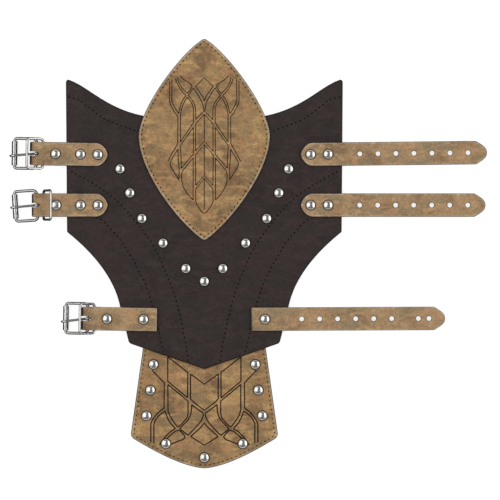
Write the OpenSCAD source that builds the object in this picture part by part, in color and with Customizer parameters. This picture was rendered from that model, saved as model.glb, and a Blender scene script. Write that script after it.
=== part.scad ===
// Leather bracer, opened out and lying flat with its outer side up.
// A V-shaped main panel carries a crest plate and six straps, and a hand guard hangs below it.
// Origin: on the centre line of the main panel, at its inner face.
// +X towards the long straps, +Y towards the elbow, +Z out of the outer face.

/* [Main panel] */
// Thickness of the main panel
panel_t = 2.2; // [1.6:0.1:3.6]
// Half width at the elbow end
elbow_half_w = 117.7; // [112:0.1:126]
// Height of the elbow corners above the origin
elbow_y = 123.3; // [114:0.1:132]
// Height of the low stretch between the elbow corners, which the crest plate covers
notch_y = 92; // [84:0.5:98]
// Half width of that low stretch
notch_half_w = 52; // [44:0.5:54]
// Height at which the straight sides end
side_end_y = -6.8; // [-14:0.1:0]
// How much narrower the panel is there than at the corners
side_draw = 1; // [0:0.1:3]
// Half width at the waist, where the hollow side meets the straight taper
waist_half_w = 72.5; // [66:0.1:78]
// Height of the waist
waist_y = -66.3; // [-68:0.1:-60]
// Half width at the wrist corners
wrist_half_w = 64; // [60:0.1:68]
// Height of the wrist corners
wrist_y = -101.3; // [-106:0.1:-98]
// Height of the point of the wrist end
point_y = -123.3; // [-123.6:0.1:-118]
// Radius of the wrist corners
wrist_r = 4; // [1:0.1:7]

/* [Crest plate] */
// Thickness of the crest plate
crest_t = 2.0; // [1.2:0.1:3.6]
// Height of its upper tip
crest_top_y = 157.1; // [150:0.1:170]
// Height of its lower tip
crest_low_y = -13.7; // [-24:0.5:-4]
// Half width at its widest place
crest_half_w = 55.9; // [50:0.1:62]
// Height of its widest place
crest_wide_y = 74.3; // [66:0.1:82]
// Radius of its two tips
crest_tip_r = 3.6; // [1:0.1:6]

/* [Hand guard] */
// Thickness of the hand guard
guard_t = 2.0; // [1.2:0.1:3]
// Height of its upper edge, hidden under the main panel
guard_top_y = -86; // [-94:0.5:-78]
// Half width of the upper edge
guard_top_half_w = 49.5; // [46:0.1:54]
// Half width at the lower corners
guard_low_half_w = 62.9; // [60:0.1:70]
// Height of the lower corners
guard_corner_y = -181; // [-190:0.5:-176]
// Height of the lower tip
guard_tip_y = -207.8; // [-220:0.1:-200]
// Radius of its lower corners
guard_corner_r = 5.5; // [2:0.1:8]
// Height of the line where the guard bends at the wrist
guard_flex_y = -125; // [-126:0.1:-125]

/* [Straps] */
// Width of every strap
strap_w = 20; // [18:0.1:20.8]
// Thickness of the strap leather
strap_t = 2.2; // [1.6:0.1:2.6]
// Heights of the upper, middle and lower strap at the panel's edge
strap_y = [59.4, 16, -80.7]; // from -84 to 64, at least 36 apart
// Slant of the three long straps in degrees
long_slant = [0.6, 0, 0.25]; // [-1:0.05:1]
// Slant of the three buckle straps in degrees
buckle_slant = [-1, 0, -1]; // [-1.5:0.1:1.5]
// How far each long strap runs past the panel
long_reach = [120.8, 119.5, 131.5]; // [118:0.1:150]
// How far each strap lies on the panel, from its bending line
root_len = [37.5, 37.5, 33]; // [30:0.5:45]
// Distance from the bending line to the strap rivets on the panel
root_rivets = [[14.2, 29], [14.2, 29], [21.5]]; // from 8 to 30, at least 10 apart
// Length of the pointed end of a long strap
tip_len = 9.4; // [7:0.1:12]
// Length of the rounded end of a strap on the panel
end_len = 10; // [7:0.1:12]
// Radius of the punched strap holes
hole_r = 2.0; // [1.5:0.05:2.3]
// Distance between punched holes
hole_pitch = 15.3; // [13:0.1:16]
// Distance from the bending line to the first punched hole
first_hole = [12.8, 12.6, 9.6]; // [8:0.1:14]
// Number of evenly spaced holes in each long strap
hole_count = [7, 7, 6]; // [3:1:7]
// Two further holes of the lower strap, measured back from its tip
spare_holes = [22.8, 13.8]; // from 12 to 24, at least 7 apart

/* [Folds and buckles] */
// Distance from each strap's bending line to the bar of its buckle
heel_reach = [23.2, 22.6, 25.8]; // [22.4:0.1:30]
// How far each buckle lies askew in its fold, in degrees
buckle_skew = [0, 3.5, 0]; // [-3.5:0.1:3.5]
// How far each tongue lies askew on its bar, in degrees
tongue_skew = [6, 2, 8]; // [-8:0.5:8]
// Radius of the hollow that the strap's fold leaves round the bar
fold_bore_r = 2.2; // [2:0.05:2.5]
// Distance from the bar to the rivet that closes the fold
fold_rivet_u = 16.2; // [16:0.1:16.8]
// Distance from the bar to the place where the two layers meet
taper_u = 10.2; // [10:0.1:11]
// Radius of the wire of the buckle frame
frame_wire_r = 1.3; // [1:0.05:1.5]
// Width of the buckle frame over its rails
frame_w = 28; // [27.4:0.1:32]
// Distance between the two bars of the buckle frame
frame_len = 19; // [17:0.1:24]
// Bend radius of the frame beside the strap's fold
heel_bend_r = 3.5; // [2.5:0.1:4]
// Bend radius of the frame beside the roller
nose_bend_r = 2.2; // [1.8:0.1:2.6]
// Outer radius of the roller tube
roller_r = 2.5; // [2.1:0.05:2.9]
// Radius of the tongue's wire
tongue_wire_r = 1.05; // [0.8:0.05:1.2]
// How far the tongue curls down past the top of the roller, in degrees
tongue_curl = 54; // [30:1:70]
// Radius of the wire of the keeper loop
keeper_wire_r = 1.15; // [0.9:0.05:1.25]
// Distance from the buckle's bar to the bar of the keeper loop
keeper_u = 5.4; // [5.2:0.05:5.8]
// Height of the keeper loop between its two bars
keeper_h = 14.6; // [13:0.1:17]
// Width of the keeper loop between its two arms
keeper_span = 25; // [24:0.1:26]
// Bend radius of the keeper loop
keeper_bend_r = 2.5; // [2:0.1:2.6]
// Angle of each keeper loop at rest, from lying back along the strap
keeper_lean = [155, 62.2, 144.1]; // [31:0.1:155]

/* [Rivets] */
// Radius of the domed caps
cap_r = 4; // [3:0.1:4.2]
// Height of the domed caps
cap_h = 2.2; // [1.6:0.1:3]
// Radius of the posts
post_r = 1.4; // [1:0.05:1.6]
// Radius of the flat head on the inner side
back_r = 3.2; // [2.4:0.1:3.4]
// Thickness of that head
back_t = 0.7; // [0.4:0.1:1]
// Half widths and heights of the rivets in the V row, the last one at its point
v_row = [[71.6, 46.8], [63.3, 26.4], [53, 4.7], [35.1, -16.2], [15.7, -37.8]]; // on the bare panel
// Height of the rivet at the point of the V row
v_point_y = -48.7; // [-56:0.1:-40]
// Half widths and heights of the rivets below the guard's bending line
guard_row = [[45.9, -141.2], [49.2, -163], [32.7, -186.7]]; // 6 or more inside the guard's edge
// Half width and height of the two rivets above that line
guard_upper = [43.3, -119.3]; // half width 30 to 46, height -119.4 to -112
// Distance from the guard's tip to the rivet at its point
guard_point_in = 9.3; // [8:0.1:14]

/* [Hidden] */
$fn = 48;

// Steps along one curved stretch of an outline, and round one of its corners
curve_steps = 16;
corner_steps = 5;
corner_r = 2.2;
tip_steps = 10;
// How far the handles of each curved outline reach from the ends of their curve
shoulder_handles = [[0.48, 7], [0.27, -4.2]];
hollow_handles = [[-17, -13.4], [6.6, 25.2]];
crest_handles = [[0.37, -13.2], [-0.2, 23.3], [-0.8, -32.1], [0.36, 14]];
guard_handles = [[-21, -13], [18, 1.2]];
tip_handles = [[0.45, 0.36], [1, 0.26]];
end_handles = [[0.44, 0.5], [0.93, 0.26]];

// Running gaps: beside a bending line, round a pin, between a post and its leather
bend_gap = 0.3;
pin_gap = 0.15;
post_gap = 0.1;
// Any cut goes this far past the solid that it opens
over = 1;
// A cutter that has to pass everything: half its length, or its half width
far = 100;
// Neighbouring pieces of one outline run this far into each other
lap = 0.01;
// A side that joins two round lobes runs this share of their radius from their middles
dip = 0.995;

// A strap bends this far outside the panel's edge, so that its underside clears the edge
edge_clear = 0.5;
flex_out = strap_t / 2 + edge_clear;
// Heights of the layers
fold_z = panel_t;
floor_z = -(guard_t + back_t);

// The panel's edge beside each strap, at the strap's wider side
strap_edge = [
    elbow_half_w,
    elbow_half_w,
    taper_edge(strap_y[2] + strap_w / 2)
];
flex_x = [for (e = strap_edge) e + flex_out];

// Buckle: everything turns on the bar in the fold
rail_y = frame_w / 2 - frame_wire_r;
roller_end_gap = 0.2;
roller_bore_gap = 0.25;
roller_half = rail_y - nose_bend_r - roller_end_gap;
// The roller rests this far above the lowest rivet heads
roller_lift = 0.1;
roller_drop = fold_z - (floor_z + roller_r + roller_lift);
frame_tilt = asin(roller_drop / frame_len);
// The tongue's eye is hammered a little thinner than its wire
eye_thinning = 0.1;
eye_wire_r = tongue_wire_r - eye_thinning;
eye_r = frame_wire_r + pin_gap + eye_wire_r;
// Outer radius of the fold's nose
nose_r = fold_bore_r + strap_t;
// The slot clears the tongue where it leaves the nose, however askew, and ends this far behind the bar
slot_gap = 0.3;
slot_end = 1;
function slot_w(i) =
    let (askew = buckle_skew[i] + tongue_skew[i])
    2 * (tongue_wire_r / cos(askew) + slot_gap + nose_r * abs(sin(askew)));
// Inside the fold, a pocket clears the eye all round
pocket_gap = 0.2;
pocket_r = eye_r + eye_wire_r + pocket_gap;
// Distance from the roller's axis to the tongue that lies over it
tongue_gap = 0.25;
tongue_over = roller_r + tongue_wire_r + tongue_gap;
keeper_gap = 0.45;
keeper_bore_r = keeper_wire_r + keeper_gap;
// The folded end of the strap stops this far past its rivet
under_past = 3.6;
// How far a rivet's post goes up into its cap
post_into_cap = 1.1;

// A point on the cubic curve through four control points
function bezier(p, t) =
    pow(1 - t, 3) * p[0] + 3 * pow(1 - t, 2) * t * p[1] + 3 * (1 - t) * t * t * p[2] + pow(t, 3) * p[3];
// All points of that curve but the first
function curve(p, n = curve_steps) = [for (i = [1 : n]) bezier(p, i / n)];
function unit(v) = v / norm(v);
// A rounded corner at b between the directions to a and c
function corner(a, b, c, r = corner_r) =
    let (
        u = unit(a - b),
        v = unit(c - b),
        half = acos(u * v) / 2,
        centre = b + unit(u + v) * r / sin(half),
        p = b + u * r / tan(half) - centre,
        q = b + v * r / tan(half) - centre,
        from = atan2(p.y, p.x),
        swing = atan2(q.y, q.x) - from,
        turn = swing > 180 ? swing - 360 : swing < -180 ? swing + 360 : swing
    )
    [for (i = [0 : corner_steps]) let (a = from + turn * i / corner_steps) centre + r * [cos(a), sin(a)]];
// A right half, from top to bottom on the centre line, closed with its mirror image
function both_halves(right) =
    concat(right, [for (i = [len(right) - 1 : -1 : 0]) if (right[i].x > 0) [-right[i].x, right[i].y]]);
// Half width of the panel's straight taper at a height
function taper_edge(y) =
    waist_half_w + (y - waist_y) * (waist_half_w - wrist_half_w) / (waist_y - wrist_y);

elbow_corner = [elbow_half_w, elbow_y];
side_end = [elbow_half_w - side_draw, side_end_y];
waist = [waist_half_w, waist_y];
wrist_corner = [wrist_half_w, wrist_y];
// A point at a share of the way from the notch out to the elbow corner
function shoulder_point(share, y) = [notch_half_w + share * (elbow_half_w - notch_half_w), y];
shoulder = [
    [notch_half_w, notch_y],
    shoulder_point(1 - shoulder_handles[0].x, notch_y + shoulder_handles[0].y),
    shoulder_point(1 - shoulder_handles[1].x, elbow_y + shoulder_handles[1].y),
    elbow_corner
];
hollow = [side_end, side_end + hollow_handles[0], waist + hollow_handles[1], waist];
panel_right = concat(
    [[0, notch_y], shoulder[0]],
    [for (i = [1 : curve_steps - 1]) bezier(shoulder, i / curve_steps)],
    corner(shoulder[2], elbow_corner, side_end),
    [side_end],
    curve(hollow),
    corner(waist, wrist_corner, [0, point_y], wrist_r),
    [[0, point_y]]
);

// A round tip on the centre line, from its peak to where it meets the side that leaves along a handle
function tip_turn(handle) = 90 - atan2(handle.x, abs(handle.y));
function round_tip(y, handle, r) = [
    for (k = [0 : corner_steps])
        let (a = tip_turn(handle) * k / corner_steps)
        [r * sin(a), y + sign(handle.y) * r * (1 - cos(a))]
];
// Where both sides would meet without that rounding
function sharp_tip(y, handle, r) = [0, y - sign(handle.y) * r * (1 / cos(tip_turn(handle)) - 1)];

crest_leave = [crest_handles[0].x * crest_half_w, crest_handles[0].y];
crest_return = [crest_handles[3].x * crest_half_w, crest_handles[3].y];
crest_upper = round_tip(crest_top_y, crest_leave, crest_tip_r);
crest_lower = round_tip(crest_low_y, crest_return, crest_tip_r);
crest_right = concat(
    crest_upper,
    curve([
        crest_upper[corner_steps],
        sharp_tip(crest_top_y, crest_leave, crest_tip_r) + crest_leave,
        [crest_half_w + crest_handles[1].x, crest_wide_y + crest_handles[1].y],
        [crest_half_w, crest_wide_y]
    ]),
    curve([
        [crest_half_w, crest_wide_y],
        [crest_half_w + crest_handles[2].x, crest_wide_y + crest_handles[2].y],
        sharp_tip(crest_low_y, crest_return, crest_tip_r) + crest_return,
        crest_lower[corner_steps]
    ]),
    [for (k = [corner_steps - 1 : -1 : 0]) crest_lower[k]]
);

guard_corner = [guard_low_half_w, guard_corner_y];
guard_hem = [
    guard_corner,
    guard_corner + guard_handles[0],
    [0, guard_tip_y] + guard_handles[1],
    [0, guard_tip_y]
];
guard_right = concat(
    [[0, guard_top_y], [guard_top_half_w, guard_top_y]],
    corner([guard_top_half_w, guard_top_y], guard_corner, guard_hem[1], guard_corner_r),
    [for (i = [2 : curve_steps]) bezier(guard_hem, i / curve_steps)]
);

// Every rivet of the V row and of the guard, with both sides of each pair
function pairs(rows) = [for (r = rows, side = [-1, 1]) [side * r.x, r.y]];
v_places = concat(pairs(v_row), [[0, v_point_y]]);
guard_leaf_places = concat(pairs(guard_row), [[0, guard_tip_y + guard_point_in]]);
guard_root_places = pairs([guard_upper]);

// Frames of the straps: the origin is on the bending line, and x points away from the panel
module long_place(i) {
    translate([flex_x[i], strap_y[i], fold_z]) rotate([0, 0, long_slant[i]]) children();
}
// Here x points towards the panel, so the buckle lies on the negative side
module buckle_place(i) {
    translate([-flex_x[i], strap_y[i], fold_z]) rotate([0, 0, buckle_slant[i]]) children();
}
// The buckle's bar, with x still towards the panel
module heel_place(i) {
    buckle_place(i) translate([-heel_reach[i], 0, 0]) children();
}
module frame_place(i) {
    heel_place(i) rotate([0, 0, buckle_skew[i]]) rotate([0, -frame_tilt, 0]) children();
}

module leather() { color("#9a7f5f") children(); }
module dark_leather() { color("#423836") children(); }
module nickel() { color("#c9c9c6") children(); }

// Holes for rivet posts through any leather, at places in the plane
module post_holes(places) {
    for (p = places) translate([p.x, p.y, 0]) cylinder(r = post_r + post_gap, h = 2 * far, center = true);
}
module long_root_holes() {
    for (i = [0 : 2]) long_place(i) post_holes([for (d = root_rivets[i]) [-d, 0]]);
}
module buckle_root_holes() {
    for (i = [0 : 2]) buckle_place(i) post_holes([for (d = root_rivets[i]) [d, 0]]);
}

module main_panel() {
    dark_leather() difference() {
        linear_extrude(panel_t) polygon(both_halves(panel_right));
        post_holes(v_places);
        long_root_holes();
        buckle_root_holes();
    }
}

module crest_plate() {
    leather() translate([0, 0, panel_t]) linear_extrude(crest_t) polygon(both_halves(crest_right));
}

// The guard's full outline, and the slab of it that lies above or below a height
module guard_blank() {
    translate([0, 0, -guard_t]) linear_extrude(guard_t) polygon(both_halves(guard_right));
}
module guard_band(from_y, to_y) {
    intersection() {
        guard_blank();
        translate([-far, from_y, -guard_t - over]) cube([2 * far, to_y - from_y, guard_t + 2 * over]);
    }
}

module hand_guard_root() {
    leather() difference() {
        guard_band(guard_flex_y + guard_t / 2 + bend_gap, guard_top_y + over);
        post_holes(guard_root_places);
    }
}

module hand_guard_leaf() {
    leather() difference() {
        union() {
            guard_band(guard_tip_y - over, guard_flex_y);
            intersection() {
                guard_blank();
                translate([0, guard_flex_y, -guard_t / 2]) rotate([0, 90, 0])
                    cylinder(r = guard_t / 2, h = 2 * far, center = true);
            }
        }
        post_holes(guard_leaf_places);
    }
}

// One side of a strap's end: the curve from its edge to its middle, for a length and two handles
function end_curve(length, handles) = curve([
    [0, strap_w / 2],
    [handles[0].x * length, handles[0].y * strap_w],
    [handles[1].x * length, handles[1].y * strap_w],
    [length, 0]
], tip_steps);
// A strap from x = near to x = far_end, which ends in that curve and its mirror image
function strap_outline(near, far_end, length, handles) =
    let (
        shoulder_x = far_end - length,
        side = [for (p = end_curve(length, handles)) [shoulder_x + p.x, p.y]]
    )
    concat(
        [[near, strap_w / 2], [shoulder_x, strap_w / 2]],
        side,
        [for (k = [len(side) - 2 : -1 : 0]) [side[k].x, -side[k].y]],
        [[shoulder_x, -strap_w / 2], [near, -strap_w / 2]]
    );

// The part of a strap that is riveted to the panel: x runs from the bending line to its end
module strap_root(length, rivets, square_end) {
    near = strap_t / 2 + bend_gap;
    difference() {
        linear_extrude(strap_t) {
            if (square_end) translate([near, -strap_w / 2]) square([length - near, strap_w]);
            else polygon(strap_outline(near, length, end_len, end_handles));
        }
        post_holes([for (d = rivets) [d, 0]]);
    }
}

module long_strap_root(i) {
    leather() long_place(i) mirror([1, 0, 0]) strap_root(root_len[i], root_rivets[i], i == 2);
}
module buckle_strap_root(i) {
    leather() buckle_place(i) strap_root(root_len[i], root_rivets[i], i == 2);
}

// The rounded end of a strap on its bending line
module bend_rod() {
    translate([0, 0, strap_t / 2]) rotate([90, 0, 0]) cylinder(r = strap_t / 2, h = strap_w, center = true);
}

module long_strap_tail(i) {
    holes = concat(
        [for (k = [0 : hole_count[i] - 1]) first_hole[i] + k * hole_pitch],
        i == 2 ? [for (d = spare_holes) long_reach[i] - d] : []
    );
    leather() long_place(i) difference() {
        union() {
            linear_extrude(strap_t) polygon(strap_outline(0, long_reach[i], tip_len, tip_handles));
            bend_rod();
        }
        for (x = holes) translate([x, 0, -over]) cylinder(r = hole_r, h = strap_t + 2 * over);
    }
}

// Where a straight line from the point p touches a circle round c, on its upper side
function touch(c, r, p) =
    let (d = norm(p - c), at = atan2(p.y - c.y, p.x - c.x) + acos(r / d))
    c + r * [cos(at), sin(at)];

// Side outline of the fold: a lobe round the buckle's bar, a lobe round the keeper's bar,
// then straight sides to the place where the layers meet
module fold_lobes(heel_r, keeper_r, end_half) {
    lean = asin((heel_r - keeper_r) / keeper_u);
    away = dip * [sin(lean), cos(lean)];
    meet = [taper_u, end_half];
    upper = [heel_r * away, [keeper_u, 0] + keeper_r * away, touch([keeper_u, 0], dip * keeper_r, meet)];
    lower = [for (k = [2 : -1 : 0]) [upper[k].x, -upper[k].y]];
    union() {
        circle(r = heel_r);
        translate([keeper_u, 0]) circle(r = keeper_r);
        polygon(concat(upper, end_half > 0 ? [meet, [taper_u, -end_half]] : [meet], lower));
    }
}

// The folded part of a buckle strap, from the bending line round the bar and back under itself
module buckle_strap_fold(i) {
    under_end = fold_rivet_u + under_past;
    leather() heel_place(i) difference() {
        union() {
            rotate([90, 0, 0]) linear_extrude(strap_w, center = true) difference() {
                union() {
                    fold_lobes(nose_r, keeper_bore_r + strap_t, strap_t);
                    translate([taper_u - lap, 0]) square([heel_reach[i] - taper_u + lap, strap_t]);
                    translate([taper_u - lap, -strap_t]) square([under_end - taper_u + lap, strap_t]);
                }
                fold_lobes(fold_bore_r, keeper_bore_r, 0);
            }
            translate([heel_reach[i], 0, 0]) bend_rod();
        }
        tongue_cut(slot_w(i));
        post_holes([[fold_rivet_u, 0]]);
    }
}

// The slot at the nose of the fold, and the skived pocket round the tongue's eye
module tongue_cut(width) {
    half = width / 2;
    reach = nose_r + over;
    translate([-reach, -half, -reach]) cube([reach + slot_end - half, width, 2 * reach]);
    translate([slot_end - half, 0, -reach]) cylinder(r = half, h = 2 * reach);
    rotate([90, 0, 0]) cylinder(r = pocket_r, h = width - pocket_gap, center = true);
}

// A quarter bend of wire in the plane: it starts at the origin along x and turns towards +y
module wire_bend(bend_r, wire_r) {
    translate([0, bend_r, 0]) rotate([0, 0, -90]) rotate_extrude(angle = 90)
        translate([bend_r, 0]) circle(r = wire_r);
}
module wire_x(from_x, to_x, wire_r) {
    translate([from_x, 0, 0]) rotate([0, 90, 0]) cylinder(r = wire_r, h = to_x - from_x);
}
module wire_y(half, wire_r) {
    rotate([90, 0, 0]) cylinder(r = wire_r, h = 2 * half, center = true);
}

// A closed wire loop: one bar on the y axis, the other at -length, rails at +-rail
module wire_loop(length, rail, bend_near, bend_far, wire_r) {
    union() {
        wire_y(rail - bend_near, wire_r);
        translate([-length, 0, 0]) wire_y(rail - bend_far, wire_r);
        for (side = [0, 1]) mirror([0, side, 0]) {
            translate([0, rail, 0]) wire_x(-length + bend_far, -bend_near, wire_r);
            translate([-bend_near, rail, 0]) mirror([0, 1, 0]) wire_bend(bend_near, wire_r);
            translate([-length + bend_far, rail, 0]) mirror([0, 1, 0]) mirror([1, 0, 0])
                wire_bend(bend_far, wire_r);
        }
    }
}

module buckle_frame(i) {
    nickel() frame_place(i) wire_loop(frame_len, rail_y, heel_bend_r, nose_bend_r, frame_wire_r);
}

module buckle_roller(i) {
    nickel() frame_place(i) translate([-frame_len, 0, 0]) difference() {
        wire_y(roller_half, roller_r);
        wire_y(roller_half + over, frame_wire_r + roller_bore_gap);
    }
}

// The tongue: an eye round the bar, a straight shank, and a tip that curls over the roller
module buckle_tongue(i) {
    reach = frame_len / cos(tongue_skew[i]);
    rise = asin(tongue_over / reach);
    shank_end = sqrt(reach * reach - tongue_over * tongue_over);
    nickel() frame_place(i) rotate([0, 0, tongue_skew[i]]) rotate([0, rise, 0]) union() {
        rotate([90, 0, 0]) rotate_extrude() translate([eye_r, 0]) circle(r = eye_wire_r);
        wire_x(-shank_end, -eye_r, tongue_wire_r);
        translate([-shank_end, 0, -tongue_over]) rotate([90, 0, 0]) rotate([0, 0, 90])
            rotate_extrude(angle = rise + tongue_curl) translate([tongue_over, 0]) circle(r = tongue_wire_r);
    }
}

module keeper_loop(i) {
    nickel() heel_place(i) translate([keeper_u, 0, 0]) rotate([0, 180 - keeper_lean[i], 0])
        wire_loop(keeper_h, keeper_span / 2, keeper_bend_r, keeper_bend_r, keeper_wire_r);
}

// Rivets: a domed cap on top of the leather, and a post with a flat head from below
module rivet_cap(top_z) {
    dome_r = (cap_r * cap_r + cap_h * cap_h) / (2 * cap_h);
    translate([0, 0, top_z]) difference() {
        intersection() {
            translate([0, 0, cap_h - dome_r]) sphere(r = dome_r);
            cylinder(r = cap_r + over, h = cap_h + over);
        }
        translate([0, 0, -over]) cylinder(r = post_r + post_gap / 2, h = over + post_into_cap);
    }
}
module rivet_post(top_z, back_z) {
    translate([0, 0, back_z - back_t]) cylinder(r = back_r, h = back_t);
    translate([0, 0, back_z - back_t]) cylinder(r = post_r, h = top_z + post_into_cap - back_z + back_t);
}

module caps_at(places, top_z) {
    nickel() for (p = places) translate([p.x, p.y, 0]) rivet_cap(top_z);
}
module posts_at(places, top_z, back_z) {
    nickel() for (p = places) translate([p.x, p.y, 0]) rivet_post(top_z, back_z);
}

module v_row_rivet_caps() { caps_at(v_places, panel_t); }
module v_row_rivet_posts() { posts_at(v_places, panel_t, 0); }
module guard_root_rivet_caps() { caps_at(guard_root_places, 0); }
module guard_root_rivet_posts() { posts_at(guard_root_places, 0, -guard_t); }
module guard_leaf_rivet_caps() { caps_at(guard_leaf_places, 0); }
module guard_leaf_rivet_posts() { posts_at(guard_leaf_places, 0, -guard_t); }

module long_strap_rivet_caps() {
    for (i = [0 : 2]) long_place(i) caps_at([for (d = root_rivets[i]) [-d, 0]], strap_t);
}
module long_strap_rivet_posts() {
    for (i = [0 : 2]) long_place(i) posts_at([for (d = root_rivets[i]) [-d, 0]], strap_t, -panel_t);
}
module buckle_strap_rivet_caps() {
    for (i = [0 : 2]) buckle_place(i) caps_at([for (d = root_rivets[i]) [d, 0]], strap_t);
}
module buckle_strap_rivet_posts() {
    for (i = [0 : 2]) buckle_place(i) posts_at([for (d = root_rivets[i]) [d, 0]], strap_t, -panel_t);
}

module fold_rivet_cap(i) { heel_place(i) caps_at([[fold_rivet_u, 0]], strap_t); }
module fold_rivet_post(i) { heel_place(i) posts_at([[fold_rivet_u, 0]], strap_t, -strap_t); }

main_panel();
crest_plate();
hand_guard_root();
hand_guard_leaf();
long_strap_root(0);  // long_strap_root_upper
long_strap_root(1);  // long_strap_root_middle
long_strap_root(2);  // long_strap_root_lower
long_strap_tail(0);  // long_strap_tail_upper
long_strap_tail(1);  // long_strap_tail_middle
long_strap_tail(2);  // long_strap_tail_lower
buckle_strap_root(0);  // buckle_strap_root_upper
buckle_strap_root(1);  // buckle_strap_root_middle
buckle_strap_root(2);  // buckle_strap_root_lower
buckle_strap_fold(0);  // buckle_strap_fold_upper
buckle_strap_fold(1);  // buckle_strap_fold_middle
buckle_strap_fold(2);  // buckle_strap_fold_lower
buckle_frame(0);  // buckle_frame_upper
buckle_frame(1);  // buckle_frame_middle
buckle_frame(2);  // buckle_frame_lower
buckle_roller(0);  // buckle_roller_upper
buckle_roller(1);  // buckle_roller_middle
buckle_roller(2);  // buckle_roller_lower
buckle_tongue(0);  // buckle_tongue_upper
buckle_tongue(1);  // buckle_tongue_middle
buckle_tongue(2);  // buckle_tongue_lower
keeper_loop(0);  // keeper_loop_upper
keeper_loop(1);  // keeper_loop_middle
keeper_loop(2);  // keeper_loop_lower
v_row_rivet_caps();
v_row_rivet_posts();
long_strap_rivet_caps();
long_strap_rivet_posts();
buckle_strap_rivet_caps();
buckle_strap_rivet_posts();
guard_root_rivet_caps();
guard_root_rivet_posts();
guard_leaf_rivet_caps();
guard_leaf_rivet_posts();
fold_rivet_cap(0);  // fold_rivet_cap_upper
fold_rivet_cap(1);  // fold_rivet_cap_middle
fold_rivet_cap(2);  // fold_rivet_cap_lower
fold_rivet_post(0);  // fold_rivet_post_upper
fold_rivet_post(1);  // fold_rivet_post_middle
fold_rivet_post(2);  // fold_rivet_post_lower
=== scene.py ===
# %% [markdown]
# # A leather bracer, laid open on a white table
# The bracer is forearm armour: a dark leather panel that closes round the arm with three straps.
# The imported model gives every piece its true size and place, in metres. It is loaded first and
# stays fixed, so each piece that is made here is put exactly where its solid lies.

# %% Load the frame
import math
import bmesh
import bpy
from mathutils import Matrix, Vector


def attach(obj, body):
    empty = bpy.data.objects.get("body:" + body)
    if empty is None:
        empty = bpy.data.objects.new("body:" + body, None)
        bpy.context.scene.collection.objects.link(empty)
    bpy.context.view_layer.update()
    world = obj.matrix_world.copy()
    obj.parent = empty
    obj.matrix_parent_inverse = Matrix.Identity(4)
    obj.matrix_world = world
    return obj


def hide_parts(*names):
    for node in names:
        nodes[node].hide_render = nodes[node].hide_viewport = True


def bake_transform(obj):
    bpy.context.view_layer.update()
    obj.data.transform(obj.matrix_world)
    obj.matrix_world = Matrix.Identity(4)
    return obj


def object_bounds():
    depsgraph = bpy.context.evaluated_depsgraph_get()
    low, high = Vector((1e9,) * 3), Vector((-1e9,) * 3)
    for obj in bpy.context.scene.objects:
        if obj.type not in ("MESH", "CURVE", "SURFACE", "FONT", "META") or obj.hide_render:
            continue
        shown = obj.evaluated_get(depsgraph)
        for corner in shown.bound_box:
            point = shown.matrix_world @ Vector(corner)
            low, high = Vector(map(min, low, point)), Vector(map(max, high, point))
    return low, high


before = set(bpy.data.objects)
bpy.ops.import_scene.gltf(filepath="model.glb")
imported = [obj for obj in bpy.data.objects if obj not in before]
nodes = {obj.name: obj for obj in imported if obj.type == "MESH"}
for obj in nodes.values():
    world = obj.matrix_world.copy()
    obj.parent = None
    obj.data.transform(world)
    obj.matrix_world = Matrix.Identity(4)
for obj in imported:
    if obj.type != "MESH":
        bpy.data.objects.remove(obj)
cad_low, cad_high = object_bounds()
print("solids:", len(nodes), "box in mm:", [round(v * 1000, 1) for v in cad_high - cad_low])

# %% [markdown]
# Leather is drawn in millimetres, as a pattern cutter would, and made in metres. Operators act on
# whatever is selected, and the loaded solids come in selected, so a helper picks one piece at a
# time.

# %% Helpers for picking pieces, editing them and using modifiers
MM = 0.001


def pick(*pieces):
    """Selects these pieces and nothing else; the last one is active."""
    bpy.ops.object.select_all(action="DESELECT")
    for piece in pieces:
        piece.select_set(True)
    bpy.context.view_layer.objects.active = pieces[-1]


def settle(piece, name):
    """Names a piece and moves its place into its mesh, so that its object sits at the origin."""
    pick(piece)
    bpy.ops.object.transform_apply(location=True, rotation=True, scale=True)
    piece.name = name
    piece.data.name = name
    return piece


def use_modifier(piece, kind, **settings):
    """Adds a modifier, sets it and applies it."""
    pick(piece)
    made = piece.modifiers.new(kind, kind)
    for key, value in settings.items():
        setattr(made, key, value)
    bpy.ops.object.modifier_apply(modifier=made.name)
    return piece


def fresh(add, **settings):
    """Runs an operator that adds an object, with nothing else selected; returns the object."""
    bpy.ops.object.select_all(action="DESELECT")
    add(**settings)
    return bpy.context.object


def open_mesh(piece):
    """Opens the mesh of a piece for editing, with everything selected."""
    pick(piece)
    bpy.ops.object.mode_set(mode="EDIT")
    bpy.ops.mesh.select_all(action="SELECT")


def face_outwards(piece, merge=0.000001):
    """Merges doubled points and turns every face outwards."""
    open_mesh(piece)
    bpy.ops.mesh.remove_doubles(threshold=merge)
    bpy.ops.mesh.normals_make_consistent(inside=False)
    bpy.ops.object.mode_set(mode="OBJECT")


def smooth(piece, angle=40):
    """Smooth shading that keeps sharp corners and flat faces flat."""
    pick(piece)
    bpy.ops.object.shade_smooth_by_angle(angle=math.radians(angle))
    return use_modifier(piece, "WEIGHTED_NORMAL", keep_sharp=True)


# %% [markdown]
# Curved outlines are the same cubic curves as in the solids. Each is given by its two ends and two
# handles. Corners of cut leather are never knife sharp, so a small arc rounds them.

# %% Curves for outlines
def bezier(start, first, second, end, steps=16):
    """The points of a cubic curve, without its start."""
    found = []
    for k in range(1, steps + 1):
        t = k / steps
        a, b, c, d = (1 - t) ** 3, 3 * (1 - t) ** 2 * t, 3 * (1 - t) * t * t, t ** 3
        found.append(tuple(a * p + b * q + c * r + d * s
                           for p, q, r, s in zip(start, first, second, end)))
    return found


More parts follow.
